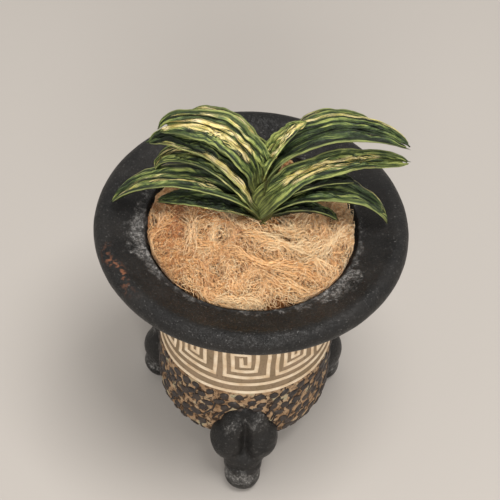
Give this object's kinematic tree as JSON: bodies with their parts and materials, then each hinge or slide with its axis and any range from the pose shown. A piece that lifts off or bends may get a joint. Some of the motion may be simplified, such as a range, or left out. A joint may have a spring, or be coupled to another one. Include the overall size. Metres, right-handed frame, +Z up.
{
  "type": "potted wind orchid",
  "caption": "Small wind orchid with folded, striped leaves in two ranks, set in pale moss in a dark pot with a wide dished rim and moulded feet.",
  "frame": {"origin": "on the surface that the feet stand on, under the pot's axis", "axes": "+Z up, -Y the front, +X the right of the leaf fan"},
  "size_m": [0.11, 0.11, 0.1526],
  "materials": {
    "stoneware": "matte",
    "moss": "matte",
    "stem": "matte",
    "roots": "matte",
    "leaves": "satin"
  },
  "bodies": {
    "root": {"pot": "stoneware", "moss": "moss", "stem": "stem", "root_1": "roots", "root_2": "roots", "root_3": "roots", "root_4": "roots", "root_5": "roots", "leaf_left_1": "leaves", "leaf_left_2": "leaves", "leaf_left_3": "leaves", "leaf_left_4": "leaves", "leaf_left_5": "leaves", "leaf_left_6": "leaves", "leaf_right_1": "leaves", "leaf_right_2": "leaves", "leaf_right_3": "leaves", "leaf_right_4": "leaves", "leaf_right_5": "leaves", "leaf_right_6": "leaves", "leaf_centre": "leaves"}
  },
  "joints": []
}
